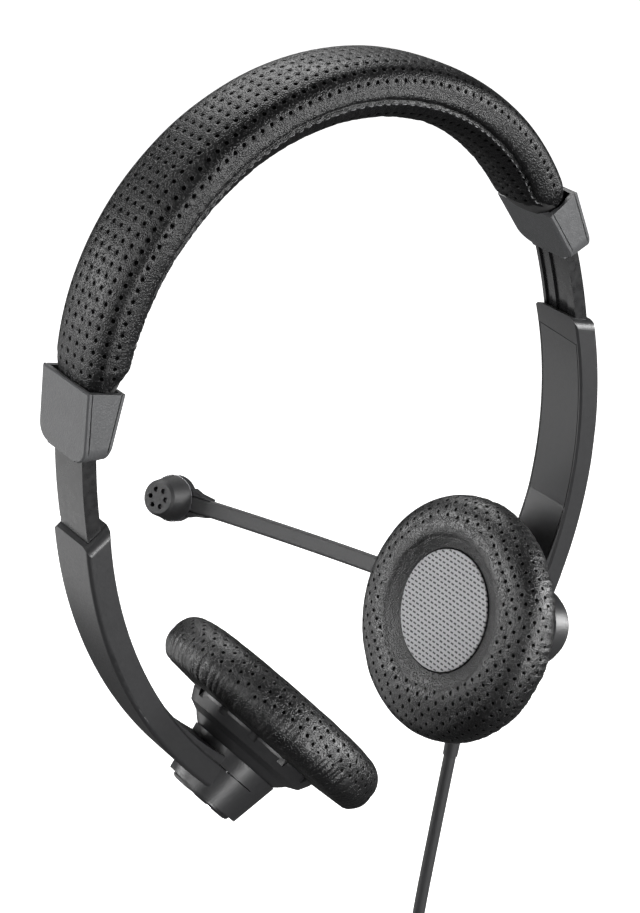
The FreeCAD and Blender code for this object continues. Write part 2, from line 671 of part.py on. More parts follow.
def boom_bar(trim):
    """Flat bendable bar: straight from the hub, then one long bend towards the mouth."""
    forward, across = boom_axes()
    half_t = BOOM_HALF_THICKNESS
    end = math.radians(BOOM_BEND_ANGLE) - trim
    def at(offset, a):
        r = BOOM_BEND_R + offset
        return boom_point(BOOM_STRAIGHT + r * math.sin(a), BOOM_BEND_R - r * math.cos(a))
    start = 7.0
    edges = [Part.makeLine(boom_point(start, -half_t), at(half_t, 0)),
             Part.Arc(at(half_t, 0), at(half_t, end / 2), at(half_t, end)).toShape(),
             Part.makeLine(at(half_t, end), at(-half_t, end)),
             Part.Arc(at(-half_t, end), at(-half_t, end / 2), at(-half_t, 0)).toShape(),
             Part.makeLine(at(-half_t, 0), boom_point(start, half_t)),
             Part.makeLine(boom_point(start, half_t), boom_point(start, -half_t))]
    face = Part.Face(Part.Wire(edges))
    face.translate(across * -BOOM_HALF_WIDTH)
    return face.extrude(across * (2 * BOOM_HALF_WIDTH))


def boom_arm():
    bar = boom_bar((MIC_RING_R - 0.6) / BOOM_BEND_R)
    long_edges = [e for e in bar.Edges if e.Length > 60]
    return on_cup(bar.makeFillet(0.9, long_edges))


def on_mic(shape):
    """Local axes of the microphone: Z points at the mouth, X back along the boom."""
    forward, across = boom_axes()
    a = math.radians(BOOM_BEND_ANGLE)
    centre = boom_point(BOOM_STRAIGHT + BOOM_BEND_R * math.sin(a),
                        BOOM_BEND_R * (1 - math.cos(a)))
    along = forward * math.cos(a) + V(0, 0, -math.sin(a))
    to_mouth = V(0, 0, -math.cos(a)) - forward * math.sin(a)
    return on_cup(moved(shape, placement(centre, -along, to_mouth)))


def mic_housing():
    shell = turned([(0, -3.6), (3.6, -3.3), (6.2, -2.2), (MIC_RING_R, -1.0), (MIC_RING_R, 1.4),
                    (5.6, 1.4), (5.6, -1.4), (0, -1.4)])
    shell.rotate(V(0, 0, 0), V(0, 0, 1), 120)
    neck = Part.Face(Part.makePolygon([
        V(6.0, -4.6, -1.9), V(8.6, -3.6, -1.9), V(13.0, -2.95, -1.9), V(13.0, 2.95, -1.9),
        V(8.6, 3.6, -1.9), V(6.0, 4.6, -1.9), V(6.0, -4.6, -1.9)])).extrude(V(0, 0, 3.3))
    w = BOOM_HALF_WIDTH + 0.02
    t = BOOM_HALF_THICKNESS + 0.03
    socket = Part.makeBox(3.0, 2 * w, 2 * t + 1, V(MIC_RING_R - 0.75, -w, -t))
    bar = boom_bar((MIC_RING_R - 0.7) / BOOM_BEND_R)
    return on_mic(shell.fuse(neck).cut(socket)).cut(on_cup(bar))


def mic_ring():
    return on_mic(ring(5.8, MIC_RING_R + 0.1, 1.42, 1.9))


def mic_cap():
    cone = turned([(5.6, 1.92), (MIC_RING_R - 0.15, 1.92), (MIC_RING_R - 0.4, 2.8),
                   (MIC_FRONT_R + 0.35, MIC_LENGTH - 0.9), (MIC_FRONT_R - 0.4, MIC_LENGTH),
                   (0, MIC_LENGTH), (0, MIC_LENGTH - 1.3), (3.9, MIC_LENGTH - 1.3), (5.4, 3.0)])
    holes = []
    for k in range(6):
        a = 2 * math.pi * k / 6
        holes.append(disc(0.8, 0, 20, 2.75 * math.cos(a), 2.75 * math.sin(a)))
    return on_mic(cone.cut(Part.makeCompound(holes)))


def mic_capsule():
    return on_mic(disc(3.0, 3.6, 8.3))


def boom_washer():
    return on_cup(ring(4.6, 7.0, 37.95, 38.1))


def boom_cap():
    cap = turned([(0, 30.8), (2.05, 30.8), (2.05, 38.65), (8.7, 38.65), (8.7, 38.15), (9.1, 38.15),
                  (9.1, 39.0), (8.2, 40.1), (5.0, 40.7), (0, 40.9)])
    return on_cup(cap)


# ---- cord ---------------------------------------------------------------------------------
def relief_axis():
    start = V(CORD_ROUTE[0][0], CORD_ROUTE[0][1], CORD_ROUTE[0][2])
    after = V(CORD_ROUTE[1][0], 0, CORD_ROUTE[1][2])
    direction = (after - start).normalize()
    return start - direction * RELIEF_LENGTH, direction


def relief_stub(radius):
    """The strain relief's root as a plain bar in the ear cup's own axes."""
    root, direction = relief_axis()
    bar = Part.makeCylinder(radius, 9, root - direction * 3.5, direction)
    outward, upward = cup_axes()
    to_local = placement(vec(CUP_FACE[0], CUP_FACE[1]), upward, outward).inverse()
    return moved(bar, to_local)


def strain_relief():
    root, direction = relief_axis()
    body = Part.makeCone(2.5, 2.0, RELIEF_LENGTH - 3.2, root + direction * 3.2, direction)
    stub = Part.makeCylinder(2.2, 5.7, root - direction * 2.5, direction)
    relief = body.fuse(stub)
    for k in range(5):
        spot = root + direction * (5 + 3.1 * k)
        outer = Part.makeCylinder(4, 0.9, spot, direction)
        core = Part.makeCylinder(1.9, 0.9, spot, direction)
        relief = relief.cut(outer.cut(core))
    return relief.cut(on_cup(ball(DISH_BALL_R - 3))).removeSplitter()


def route_pipe(points, radius, name):
    """Tube along straight runs joined by tangent arcs; prints the arc radii."""
    pts = [V(*p) for p in points]
    edges = []
    start = pts[0]
    radii = []
    for k in range(1, len(pts) - 1):
        before = pts[k - 1] - pts[k]
        after = pts[k + 1] - pts[k]
        reach = 0.45 * min(before.Length, after.Length)
        turn = math.pi - before.getAngle(after)
        radii.append(reach / math.tan(turn / 2))
        before.normalize()
        after.normalize()
        a = pts[k] + before * reach
        b = pts[k] + after * reach
        middle_dir = (before + after).normalize()
        centre_dist = radii[-1] / math.cos(turn / 2)
        middle = pts[k] + middle_dir * (centre_dist - radii[-1])
        edges.append(Part.LineSegment(start, a).toShape())
        edges.append(Part.Arc(a, middle, b).toShape())
        start = b
    edges.append(Part.LineSegment(start, pts[-1]).toShape())
    path = Part.Wire(edges)
    first = (pts[1] - pts[0]).normalize()
    profile = Part.Wire(Part.makeCircle(radius, pts[0], first))
    tube = path.makePipeShell([profile], True, False)
    expected = math.pi * radius ** 2 * path.Length
    print(name, "arc radii", [round(r, 1) for r in radii], "length", round(path.Length, 1),
          "volume ratio", round(tube.Volume / expected, 4))
    return tube


def cable_coil():
    x, y, z = COIL_CENTRE
    r0 = COIL_MEAN_R - COIL_HALF
    r1 = COIL_MEAN_R + COIL_HALF
    c = 1.2
    outline = [(r0 + c, -COIL_HALF), (r1 - c, -COIL_HALF), (r1, -COIL_HALF + c), (r1, COIL_HALF - c),
               (r1 - c, COIL_HALF), (r0 + c, COIL_HALF), (r0, COIL_HALF - c), (r0, -COIL_HALF + c)]
    pts = [V(x + r, y + side, z) for r, side in outline]
    face = Part.Face(Part.makePolygon(pts + pts[:1]))
    return face.revolve(V(x, y, z), V(0, 1, 0), 360)


def coil_tie():
    """Hook-and-loop strap round the bundle, a quarter turn away from where the cord goes in."""
    x, y, z = COIL_CENTRE
    top = z + COIL_MEAN_R
    outer = Part.makeBox(9.0, 13.2, 13.6, V(x - 4.5, y - 6.6, top - 7.0))
    inner = Part.makeBox(9.2, 11.4, 11.8, V(x - 4.6, y - 5.7, top - 6.0))
    tie = outer.cut(inner)
    tie.rotate(V(x, y, z), V(0, 1, 0), -80)
    return tie


def plug_axis():
    tip = V(*TAIL_ROUTE[-1])
    before = V(*TAIL_ROUTE[-2])
    return tip, (tip - before).normalize()


def plug_relief():
    start, direction = plug_axis()
    cone = Part.makeCone(2.2, 2.9, 11.0, start, direction)
    for k in range(3):
        spot = start + direction * (2.4 + 2.9 * k)
        groove = Part.makeCylinder(5, 0.8, spot, direction).cut(
            Part.makeCylinder(1.9, 0.8, spot, direction))
        cone = cone.cut(groove)
    return cone


def plug_body():
    start, direction = plug_axis()
    base = start + direction * 11.0
    body = Part.makeCylinder(3.9, 15.0, base, direction)
    return body.makeFillet(0.8, [e for e in body.Edges if abs(e.Length - 2 * math.pi * 3.9) < 0.1])


def plug_pin():
    """Four-contact jack pin with three insulating rings and a rounded tip."""
    start, direction = plug_axis()
    base = start + direction * 26.0
    r = PLUG_D / 2
    outline = [(0, 0), (r, 0), (r, 10.6), (r - 0.45, 11.5), (r - 0.1, 12.4), (r - 0.6, 13.5), (0.5, 14.0),
               (0, 14.0)]
    pin = turned(outline)
    for h in (3.6, 6.2, 8.8):
        pin = pin.cut(ring(r - 0.12, r + 1, h, h + 0.6))
    side = direction.cross(V(0, 1, 0)).normalize()
    return moved(pin, placement(base, side, direction))


def plug_bands():
    start, direction = plug_axis()
    base = start + direction * 26.0
    r = PLUG_D / 2
    bands = [ring(r - 0.12, r, h, h + 0.6) for h in (3.6, 6.2, 8.8)]
    side = direction.cross(V(0, 1, 0)).normalize()
    place = placement(base, side, direction)
    return [moved(b, place) for b in bands]


def save(name, shape):
    if isinstance(shape, list):
        shape = Part.makeCompound(shape)
    bad = [s for s in shape.Solids if not s.isValid()]
    print(name, "solids", len(shape.Solids), "volume", round(shape.Volume, 1), "bad", len(bad))
    shape.exportStep("parts/" + name + ".step")


def save_pair(name, shape):
    save("right_" + name, shape)
    if isinstance(shape, list):
        save("left_" + name, [mirrored(s) for s in shape])
    else:
        save("left_" + name, mirrored(shape))


def main():
    os.makedirs("parts", exist_ok=True)
    save("band_cover", band_cover())
    save("band_foam", band_foam())
    save("spring_strip", spring_strip())
    save("link_wire", link_wire())
    block = cap_block()
    save_pair("cap_outer_plate", cap_outer_plate(block))
    save_pair("cap_inner_plate", cap_inner_plate(block))
    save_pair("cap_frame", cap_frame(block))
    screws = cap_screws()
    save("cap_screws", screws + [mirrored(s) for s in screws])
    save_pair("slider_strap", slider_strap())
    shell, cover = arm_pieces(True)
    save("right_arm_shell", shell)
    save("right_arm_cover", cover)
    shell, cover = arm_pieces(False)
    save("left_arm_shell", mirrored(shell))
    save("left_arm_cover", mirrored(cover))
    save_pair("detent_spring", detent_spring())
    save_pair("arm_screws", arm_screws())
    save_pair("cup_screw", cup_screw())
    save_pair("cup_nut", cup_nut())
    save_pair("cup_washer", cup_washer())
    save("left_hub_cap", mirrored(hub_cap()))
    save("left_hub_ring", mirrored(hub_ring()))
    save("right_dish", right_dish())
    save("left_dish", mirrored(on_cup(dish())))
    save_pair("baffle", baffle())
    save_pair("ear_pad", ear_pad())
    save_pair("scrim", scrim())
    save_pair("driver_frame", driver_frame())
    save_pair("driver_cone", driver_cone())
    save_pair("driver_magnet", driver_magnet())
    save("terminal_board", terminal_board())
    save("boom_hub", boom_hub())
    save("boom_arm", boom_arm())
    save("mic_housing", mic_housing())
    save("mic_ring", mic_ring())
    save("mic_cap", mic_cap())
    save("mic_capsule", mic_capsule())
    save("boom_washer", boom_washer())
    save("boom_cap", boom_cap())
    save("strain_relief", strain_relief())
    save("cable", [route_pipe(CORD_ROUTE, CORD_D / 2, "cable"),
                   route_pipe(TAIL_ROUTE, CORD_D / 2, "tail")])
    save("cable_coil", cable_coil())
    save("coil_tie", coil_tie())
    save("plug_relief", plug_relief())
    save("plug_body", plug_body())
    save("plug_pin", plug_pin())
    save("plug_bands", plug_bands())


main()
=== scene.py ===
"""Looks of the office headset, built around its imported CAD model.

Lengths are in metres and positions are in the part's own frame: +X is the wearer's right, +Y the
wearer's front, +Z up, with the origin under the headband's crown.
"""
import json
import math

import bmesh
import bpy
import numpy as np
from mathutils import Matrix, Vector


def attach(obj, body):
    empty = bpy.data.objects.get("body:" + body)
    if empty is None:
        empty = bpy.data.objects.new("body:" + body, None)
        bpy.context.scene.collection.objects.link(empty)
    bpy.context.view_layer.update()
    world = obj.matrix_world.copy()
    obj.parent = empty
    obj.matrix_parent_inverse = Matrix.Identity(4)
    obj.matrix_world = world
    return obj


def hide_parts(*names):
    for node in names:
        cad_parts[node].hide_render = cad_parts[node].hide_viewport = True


MM = 0.001
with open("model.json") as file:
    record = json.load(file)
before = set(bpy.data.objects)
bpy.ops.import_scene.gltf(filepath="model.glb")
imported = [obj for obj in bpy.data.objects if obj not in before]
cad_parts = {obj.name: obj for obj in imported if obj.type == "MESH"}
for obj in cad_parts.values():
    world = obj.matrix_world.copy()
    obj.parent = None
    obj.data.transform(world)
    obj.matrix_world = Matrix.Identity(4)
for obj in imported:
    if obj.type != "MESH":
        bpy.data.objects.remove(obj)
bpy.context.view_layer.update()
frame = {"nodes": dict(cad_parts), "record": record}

# ---- camera, floor and light ------------------------------------------------------------------
CAMERA_AT = (-0.24737, -0.38651, 0.19095)
CAMERA_RIGHT = (0.81135, -0.57609, -0.09915)
CAMERA_UP = (0.36867, 0.37267, 0.85159)
CAMERA_BACK = (-0.45364, -0.72749, 0.51475)
LENS = 88.26                 # mm, on a sensor 36 mm wide
SENSOR = 36
LIGHT_TARGET = (0, 0, -0.09)
LIGHTS = [                   # name, location, width and height, power in watts
    ("back_top", (0.55, 0.95, 0.75), (0.9, 0.7), 12),
    ("back_left", (-0.95, 0.85, 0.32), (0.8, 0.5), 14),
    ("back_low", (-0.75, 0.95, -0.55), (1.3, 0.7), 3.6),
    ("front_low", (0.15, -1.15, -0.17), (1.4, 0.2), 20),
    ("left_top", (-0.95, -0.1, 0.75), (0.8, 0.6), 8),
    ("right_front", (1.05, -0.6, -0.1), (0.35, 0.5), 14),
]
WORLD_STRENGTH = 0.07
FLOOR_Z = -0.8
FLOOR_HALF = 30
DOME_R = 9
PAPER_GLOW = 0.95


def add_camera():
    data = bpy.data.cameras.new("camera")
    data.lens = LENS
    data.sensor_width = SENSOR
    camera = bpy.data.objects.new("camera", data)
    bpy.context.scene.collection.objects.link(camera)
    turn = Matrix((CAMERA_RIGHT, CAMERA_UP, CAMERA_BACK)).transposed().to_4x4()
    camera.matrix_world = Matrix.Translation(CAMERA_AT) @ turn
    bpy.context.scene.camera = camera


def add_light(name, location, size, power):
    data = bpy.data.lights.new(name, "AREA")
    data.shape = "RECTANGLE"
    data.size, data.size_y = size
    data.energy = power
    light = bpy.data.objects.new(name, data)
    bpy.context.scene.collection.objects.link(light)
    light.location = location
    aim = Vector(LIGHT_TARGET) - Vector(location)
    light.rotation_euler = aim.to_track_quat("-Z", "Y").to_euler()


def add_studio():
    world = bpy.data.worlds.new("studio")
    bpy.context.scene.world = world
    world.use_nodes = True
    background = world.node_tree.nodes["Background"]
    background.inputs["Color"].default_value = (1, 1, 1, 1)
    background.inputs["Strength"].default_value = WORLD_STRENGTH
    bpy.context.scene.view_settings.view_transform = "Standard"
    for name, location, size, power in LIGHTS:
        add_light(name, location, size, power)
    mesh = bpy.data.meshes.new("floor")
    signs = ((-1, -1), (1, -1), (1, 1), (-1, 1))
    corners = [(x * FLOOR_HALF, y * FLOOR_HALF, FLOOR_Z) for x, y in signs]
    mesh.from_pydata(corners, [], [(0, 1, 2, 3)])
    floor = bpy.data.objects.new("floor", mesh)
    bpy.context.scene.collection.objects.link(floor)
    paper = plain_material("floor_paper", (0.86, 0.86, 0.86), 0.7, 3, 0.02)
    shader = paper.node_tree.nodes["Principled BSDF"]
    shader.inputs["Emission Color"].default_value = (1, 1, 1, 1)
    shader.inputs["Emission Strength"].default_value = PAPER_GLOW
    floor.data.materials.append(paper)
    floor.visible_diffuse = False
    floor.visible_glossy = False
    add_backdrop(paper)


def add_backdrop(paper):
    """A pale dome that only the camera sees, so that level views don't look past the floor."""
    mesh = bpy.data.meshes.new("backdrop")
    work = bmesh.new()
    bmesh.ops.create_uvsphere(work, u_segments=48, v_segments=24, radius=DOME_R)
    work.to_mesh(mesh)
    work.free()
    dome = bpy.data.objects.new("backdrop", mesh)
    bpy.context.scene.collection.objects.link(dome)
    dome.data.materials.append(paper)
    dome.visible_diffuse = False
    dome.visible_glossy = False
    dome.visible_shadow = False


# ---- node helpers -----------------------------------------------------------------------------
class Graph:
    """Short names for the nodes of one material."""

    def __init__(self, name):
        self.material = bpy.data.materials.new(name)
        self.material.use_nodes = True
        self.tree = self.material.node_tree
        self.shader = self.tree.nodes["Principled BSDF"]

    def node(self, kind, **settings):
        made = self.tree.nodes.new("ShaderNode" + kind)
        for key, value in settings.items():
            setattr(made, key, value)
        return made

    def plug(self, socket, value):
        if isinstance(value, bpy.types.NodeSocket):
            self.tree.links.new(value, socket)
        else:
            socket.default_value = value

    def math(self, operation, a, b=0.0):
        made = self.node("Math", operation=operation)
        for socket, value in zip(made.inputs, (a, b)):
            self.plug(socket, value)
        return made.outputs[0]

    def ramp(self, value, low, high, to_low=0.0, to_high=1.0):
        made = self.node("MapRange", interpolation_type="SMOOTHSTEP")
        self.plug(made.inputs["Value"], value)
        limits = {"From Min": low, "From Max": high, "To Min": to_low, "To Max": to_high}
        for key, limit in limits.items():
            self.plug(made.inputs[key], limit)
        return made.outputs["Result"]

    def position(self):
        return self.node("TexCoord").outputs["Object"]

    def noise(self, scale, detail=3.0, rough=0.5):
        made = self.node("TexNoise")
        self.plug(made.inputs["Vector"], self.position())
        made.inputs["Scale"].default_value = scale
        made.inputs["Detail"].default_value = detail
        made.inputs["Roughness"].default_value = rough
        return made.outputs[0]

    def cells(self, scale):
        made = self.node("TexVoronoi", feature="F1")
        self.plug(made.inputs["Vector"], self.position())
        made.inputs["Scale"].default_value = scale
        return made.outputs["Distance"]

    def blend(self, share, a, b):
        made = self.node("Mix", data_type="RGBA")
        self.plug(made.inputs[0], share)
        for socket, colour in ((made.inputs[6], a), (made.inputs[7], b)):
            self.plug(socket, colour if isinstance(colour, bpy.types.NodeSocket) else (*colour, 1))
        return made.outputs[2]

    def bump(self, height, distance, strength=1.0):
        made = self.node("Bump")
        self.plug(made.inputs["Height"], height)
        made.inputs["Distance"].default_value = distance
        made.inputs["Strength"].default_value = strength
        self.plug(self.shader.inputs["Normal"], made.outputs[0])

    def set(self, key, value):
        self.plug(self.shader.inputs[key], value)


def shade(colour, factor):
    return tuple(min(c * factor, 1) for c in colour)


def plain_material(name, colour, rough, scale, relief, metallic=0.0, spread=0.15):
    """Moulded or plated surface: slight mottling, uneven gloss and a fine texture."""
    g = Graph(name)
    mottle = g.noise(scale * 0.2)
    g.set("Base Color", g.blend(mottle, shade(colour, 1 - spread), shade(colour, 1 + spread)))
    g.set("Roughness", g.ramp(g.noise(scale * 0.6), 0.3, 0.7, rough - 0.04, rough + 0.04))
    g.set("Metallic", metallic)
    g.bump(g.noise(scale, 4.0, 0.6), relief * MM, 0.6)
    return g.material


# ---- band cover -------------------------------------------------------------------------------
BAND_CENTRE_Z = -55.2
BAND_OUTER = 69.8
BAND_INNER = 55.2
BAND_HALF_WIDTH = 11.75
BAND_CORE_R = 62.5
BAND_END = 76.5              # degrees from the crown
NECK_FROM = 70.5             # where the cover begins to narrow into the cap, in degrees
NECK_OVER = 5.5
OUTER_ROUND = 0.56           # exponents that set how square the section's faces and edges are
INNER_ROUND = 1.15
EDGE_ROUND = 0.72
SEAM_CROWN = 17.5            # from the outer middle to the seam, in mm along the section
SEAM_SPREAD = 1.5            # how much more it is beyond SEAM_FULL_AT degrees
SEAM_FULL_AT = 58
RINGS = 500
SEAM_CELLS = 118             # grid columns from seam to seam over the outer face
INNER_CELLS = 96
HOLE_STEP = 2.24             # pitch of the holes along the band, in degrees
HOLE_STEP_MM = 2.73
HOLE_ROW = 3.03              # and across it, in mm
INNER_STEP = 2.38
INNER_STEP_MM = 2.4
INNER_ROW = 3.2
HOLE_AT = (-18.3, -0.95)     # angle and arc length across of one hole of each lattice
INNER_AT = (-1.0, 0.2)
HOLES_ACROSS = 14.2          # no holes further than this from the middle of the outer face
INNER_HOLES_ACROSS = 10.6
HOLES_END = 73.6
BAND_HOLE_R = 0.5
ALONG_R = 64                 # the radius at which lengths along the band are measured


def smooth(x):
    x = np.clip(x, 0, 1)
    return x * x * (3 - 2 * x)


def bell(x, width):
    return np.exp(-(x / width) ** 2)


def wander(x, waves, seed):
    """A smooth irregular curve of x: the sum of a few sines of near lengths, within about -1..1."""
    draw = np.random.default_rng(seed)
    total = np.zeros_like(x, dtype=float)
    for wave in waves:
        total += np.sin(2 * math.pi * x / wave + draw.uniform(0, 2 * math.pi))
    return total / len(waves)


def band_section(angle, count=1441):
    """The cover's section at an angle from the crown: arc length from the outer middle, r and width."""
    share = abs(angle) / BAND_END
    neck = float(smooth((abs(angle) - NECK_FROM) / NECK_OVER))
    outer = BAND_OUTER - 0.5 * neck
    inner = BAND_INNER + 3.0 * share ** 2.5 + 2.7 * neck
    half_width = BAND_HALF_WIDTH - 1.8 * share ** 4 - 1.5 * neck
    t = np.linspace(-math.pi, math.pi, count)
    cosine = np.cos(t)
    power = np.where(cosine > 0, OUTER_ROUND, INNER_ROUND)
    radius = (outer + inner) / 2 + (outer - inner) / 2 * np.sign(cosine) * np.abs(cosine) ** power
    width = half_width * np.sign(np.sin(t)) * np.abs(np.sin(t)) ** EDGE_ROUND
    run = np.concatenate([[0], np.cumsum(np.hypot(np.diff(radius), np.diff(width)))])
    return run - run[count // 2], radius, width


def seam_at(angle):
    """Arc length from the outer middle to the seam, in mm."""
    return SEAM_CROWN + SEAM_SPREAD * float(smooth(abs(angle) / SEAM_FULL_AT))


def band_grid():
    """Angle, arc length across, radius and width of every point, ring by ring."""
    angles = np.linspace(-BAND_END, BAND_END, RINGS)
    rows = []
    for angle in angles:
        run, radius, width = band_section(angle)
        end = run[-1]
        seam = min(seam_at(angle), end - 9)
        outer = np.linspace(-seam, seam, SEAM_CELLS + 1)
        inner = np.linspace(seam, 2 * end - seam, INNER_CELLS + 1)[1:-1]
        across = np.concatenate([outer, inner])
        wrapped = np.where(across > end, across - 2 * end, across)
        r, y = np.interp(wrapped, run, radius), np.interp(wrapped, run, width)
        angle_row, seam_row, end_row = (np.full_like(across, value) for value in (angle, seam, end))
        rows.append((angle_row, wrapped, r, y, seam_row, end_row))
    return [np.array(column) for column in zip(*rows)]


def band_points(angle, r, y):
    a = np.radians(angle)
    return np.stack([r * np.sin(a), y, BAND_CENTRE_Z + r * np.cos(a)], axis=-1)


def normals_of(points):
    """Unit normals of a grid that is closed along its second axis."""
    along = np.gradient(points, axis=0)
    across = np.roll(points, -1, axis=1) - np.roll(points, 1, axis=1)
    normal = np.cross(along, across)
    return normal / np.maximum(np.linalg.norm(normal, axis=-1, keepdims=True), 1e-9)


def lattice_distance(u, v, step_u, step_v):
    """Distance from the middle of the nearest hole, in mm."""
    return np.hypot((u - np.round(u)) * step_u, (v - np.round(v)) * step_v)


def band_relief(angle, across, seam, end):
    """How far each point of the cover stands out, in mm, and its place in the lattice of holes."""
    outer = np.abs(across) <= seam
    inner_across = np.where(across > 0, end - across, -(end + across))
    along_mm = np.radians(angle) * ALONG_R
    outer_u, outer_v = (angle - HOLE_AT[0]) / HOLE_STEP, (across - HOLE_AT[1]) / HOLE_ROW
    inner_u, inner_v = (angle - INNER_AT[0]) / INNER_STEP, (inner_across - INNER_AT[1]) / INNER_ROW
    lattice_u, lattice_v = np.where(outer, outer_u, inner_u), np.where(outer, outer_v, inner_v)
    outer_holes = np.abs(across - 0.55) < HOLES_ACROSS
    inner_holes = np.abs(inner_across) < INNER_HOLES_ACROSS
    shown = 1.0 * np.where(outer, outer_holes, inner_holes) * (np.abs(angle) < HOLES_END)
    step = np.where(outer, HOLE_STEP_MM, INNER_STEP_MM)
    hole = lattice_distance(lattice_u, lattice_v, step, HOLE_ROW)
    relief = -0.2 - shown * 0.5 * bell(hole, 0.4)
    side = np.sign(across)
    from_seam = np.abs(across) - seam
    wobble = 0.18 * wander(along_mm + 40 * side, (5.1, 8.3, 13.7), 3)
    groove = from_seam + wobble
    relief += -0.7 * bell(groove, 0.38) + 0.14 * bell(groove + 1.5, 0.9) + 0.08 * bell(groove - 1.2, 0.8)
    gather = wander(along_mm + 17 * side, (1.9, 2.3, 2.9, 4.3), 5)
    depth = np.where(from_seam < 0, bell(from_seam + 0.8, 2.1), 0.55 * bell(from_seam - 0.8, 1.0))
    relief += 0.2 * gather * depth * (0.65 + 0.35 * wander(along_mm, (23.0, 37.0), 6))
    lumps = wander(along_mm + 0.6 * across, (19.0, 31.0, 47.0), 8)
    lumps *= wander(across + 0.2 * along_mm, (17.0, 29.0), 9)
    relief += 0.12 * lumps
    pucker = wander(across, (2.1, 2.9, 4.7), 11) * bell(np.abs(angle) - 75.0, 2.4)
    relief += 0.16 * pucker
    crease = np.abs(wander(along_mm + 2.2 * wander(across, (9.0, 14.0), 12), (4.3, 6.1, 9.7), 13))
    relief += np.where(outer, 0.0, -0.14 * bell(crease, 0.2))
    return relief, np.stack([lattice_u, lattice_v, shown], axis=-1)


def mesh_from_grid(name, points, closed_ends, attribute=None):
    """A mesh whose grid closes on itself along its second axis, with flat ends if asked for."""
    rows, columns = points.shape[:2]
    index = np.arange(rows * columns).reshape(rows, columns)
    here, there = index[:-1], index[1:]
    next_here, next_there = np.roll(here, -1, axis=1), np.roll(there, -1, axis=1)
    faces = np.stack([here, next_here, next_there, there], axis=-1).reshape(-1, 4).tolist()
    if closed_ends:
        faces += [index[0][::-1].tolist(), index[-1].tolist()]
    mesh = bpy.data.meshes.new(name)
    mesh.from_pydata((points.reshape(-1, 3) * MM).tolist(), [], faces)
    for key, values in (attribute or {}).items():
        layer = mesh.attributes.new(key, "FLOAT_VECTOR", "POINT")
        layer.data.foreach_set("vector", values.reshape(-1).astype(np.float32))
    mesh.polygons.foreach_set("use_smooth", [True] * len(mesh.polygons))
    mesh.update()
    piece = bpy.data.objects.new(name, mesh)
    bpy.context.scene.collection.objects.link(piece)
    return piece


def outward(points, normals, away_from):
    """The normals, turned where needed so that they point away from the given points."""
    inward = np.sum(normals * (points - away_from), axis=-1, keepdims=True) < 0
    return np.where(inward, -normals, normals)


def build_band():
    angle, across, r, y, seam, end = band_grid()
    points = band_points(angle, r, y)
    middle = band_points(angle, np.full_like(r, BAND_CORE_R), np.zeros_like(r))
    normal = outward(points, normals_of(points), middle)
    relief, lattice = band_relief(angle, across, seam, end)
    points = points + normal * relief[..., None]
    cover = mesh_from_grid("band_cover_skin", points, True, {"lattice": lattice})
    cover.data.materials.append(leather("band_leather", BAND_HOLE_R, 0.33))
    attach(cover, "headband")
    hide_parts("band_cover")
    build_stitches(points, normal)


STITCH_PITCH = 2.35
STITCH_LENGTH = 1.4
STITCH_RADIUS = 0.12
STITCH_LIFT = 0.09
STITCH_END = 6.5             # free of stitches at each end of the band
STITCH_COLUMN = 3            # grid columns past the seam


def build_stitches(points, normal):
    """Two rows of light thread beside the cover's seams, on its underside."""
    verts, faces = [], []
    ring = 8
    steps = np.linspace(-1, 1, 9)
    for side in (-1, 1):
        column = SEAM_CELLS + STITCH_COLUMN if side > 0 else points.shape[1] - STITCH_COLUMN
        line, up = points[:, column], normal[:, column]
        run = np.concatenate([[0], np.cumsum(np.linalg.norm(np.diff(line, axis=0), axis=1))])
        spots = np.arange(STITCH_END, run[-1] - STITCH_END, STITCH_PITCH)
        for spot in spots:
            along = spot + steps * STITCH_LENGTH / 2
            centre = np.stack([np.interp(along, run, line[:, k]) for k in range(3)], axis=-1)
            face_up = np.array([np.interp(spot, run, up[:, k]) for k in range(3)])
            face_up /= np.linalg.norm(face_up)
            axis = centre[-1] - centre[0]
            axis /= np.linalg.norm(axis)
            sideways = np.cross(axis, face_up)
            start = len(verts)
            for share, at in zip(steps, centre):
                thick = STITCH_RADIUS * max(1 - abs(share) ** 3, 0.04)
                lift = STITCH_LIFT * (1 - share * share) - 0.02
                for k in range(ring):
                    turn = 2 * math.pi * k / ring
                    rise = face_up * (lift + thick * math.sin(turn))
                    verts.append(at + rise + sideways * thick * math.cos(turn))
            for i in range(len(steps) - 1):
                for k in range(ring):
                    a, b = start + i * ring + k, start + i * ring + (k + 1) % ring
                    faces.append((a, b, b + ring, a + ring))
            faces.append(tuple(range(start + ring - 1, start - 1, -1)))
            last = start + (len(steps) - 1) * ring
            faces.append(tuple(range(last, last + ring)))
    mesh = bpy.data.meshes.new("band_stitches")
    mesh.from_pydata([tuple(v * MM) for v in verts], [], faces)
    mesh.polygons.foreach_set("use_smooth", [True] * len(mesh.polygons))
    thread = bpy.data.objects.new("band_stitches", mesh)
    bpy.context.scene.collection.objects.link(thread)
    thread.data.materials.append(plain_material("stitch_thread", (0.16, 0.16, 0.165), 0.6, 2500, 0.05))
    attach(thread, "headband")


